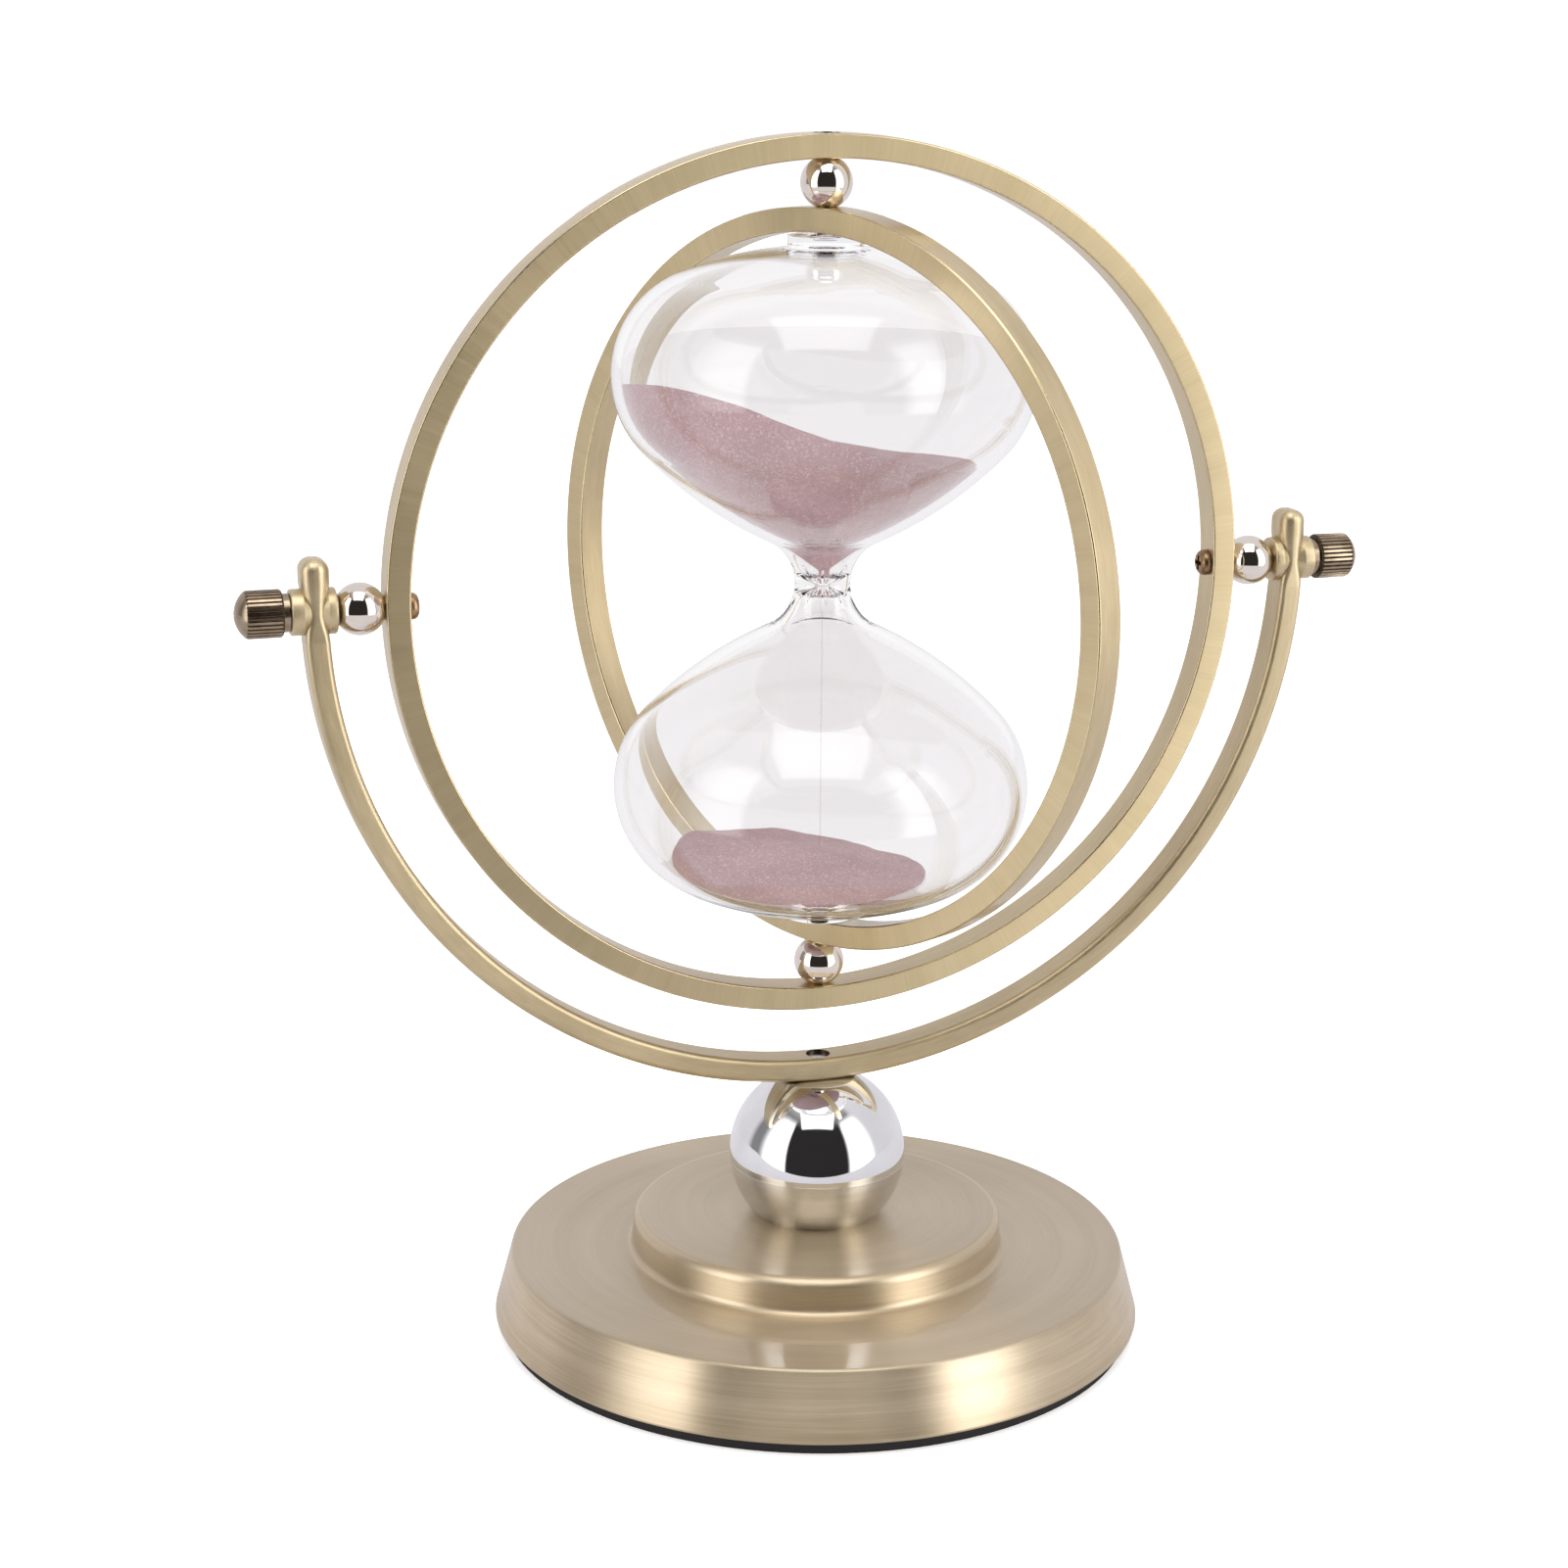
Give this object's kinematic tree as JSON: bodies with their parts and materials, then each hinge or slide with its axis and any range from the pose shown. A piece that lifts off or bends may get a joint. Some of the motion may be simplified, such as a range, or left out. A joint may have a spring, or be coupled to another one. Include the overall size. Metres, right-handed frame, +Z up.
{
  "type": "hourglass",
  "caption": "Hourglass of two round bulbs in a swivelling ring, hung in a tilting outer ring on a half-round yoke, ball stem and weighted round base.",
  "frame": {"origin": "on the table, under the middle of the base", "axes": "+Z up, +X along the outer ring's pivot axis, towards the right-hand thumb screw"},
  "size_m": [0.192, 0.1106, 0.2015],
  "materials": {
    "black_rubber": "matte sheet",
    "iron": "bare casting",
    "brushed_brass": "brushed, lacquered",
    "satin_brass": "satin, lacquered",
    "aged_brass": "darkened, worn bright on the edges",
    "polished_brass": "mirror polished, pale",
    "polished_chrome": "mirror polished",
    "steel": "plain",
    "clear_pad": "clear, soft",
    "clear_glass": "clear, blown",
    "rose_sand": "fine loose grains"
  },
  "bodies": {
    "stand": {"base_pad": "black_rubber", "base_weight": "iron", "base_shell": "brushed_brass", "tie_bolt": "steel", "tie_washer": "steel", "stem_cup": "satin_brass", "stem_ball": "polished_chrome", "yoke": "satin_brass"},
    "outer_ring_body": {"outer_ring": "satin_brass", "pivot_ball_right": "polished_brass", "pivot_ball_left": "polished_brass", "pivot_screws": "aged_brass", "axis_ball_top": "polished_brass", "axis_ball_bottom": "polished_brass", "axis_screws": "steel"},
    "inner_ring_body": {"inner_ring": "satin_brass", "glass_pad_top": "clear_pad", "glass_pad_bottom": "clear_pad", "glass": "clear_glass", "sand_upper": "rose_sand", "sand_lower": "rose_sand", "sand_stream": "rose_sand"},
    "thumb_right": {"thumb_screw_right": "aged_brass"},
    "thumb_left": {"thumb_screw_left": "aged_brass"}
  },
  "joints": [
    {"name": "ring_tilt", "type": "hinge", "parent": "stand", "child": "outer_ring_body", "pos_m": [0, 0, 0.12901], "axis": [1, 0, 0], "continuous": true},
    {"name": "ring_swivel", "type": "hinge", "parent": "outer_ring_body", "child": "inner_ring_body", "pos_m": [0, 0, 0.12901], "axis": [0, 0, 1], "continuous": true},
    {"name": "thumb_turn_right", "type": "hinge", "parent": "outer_ring_body", "child": "thumb_right", "pos_m": [0, 0, 0.12901], "axis": [1, 0, 0], "range_deg": [0, 180]},
    {"name": "thumb_turn_left", "type": "hinge", "parent": "outer_ring_body", "child": "thumb_left", "pos_m": [0, 0, 0.12901], "axis": [-1, 0, 0], "range_deg": [0, 180]}
  ]
}
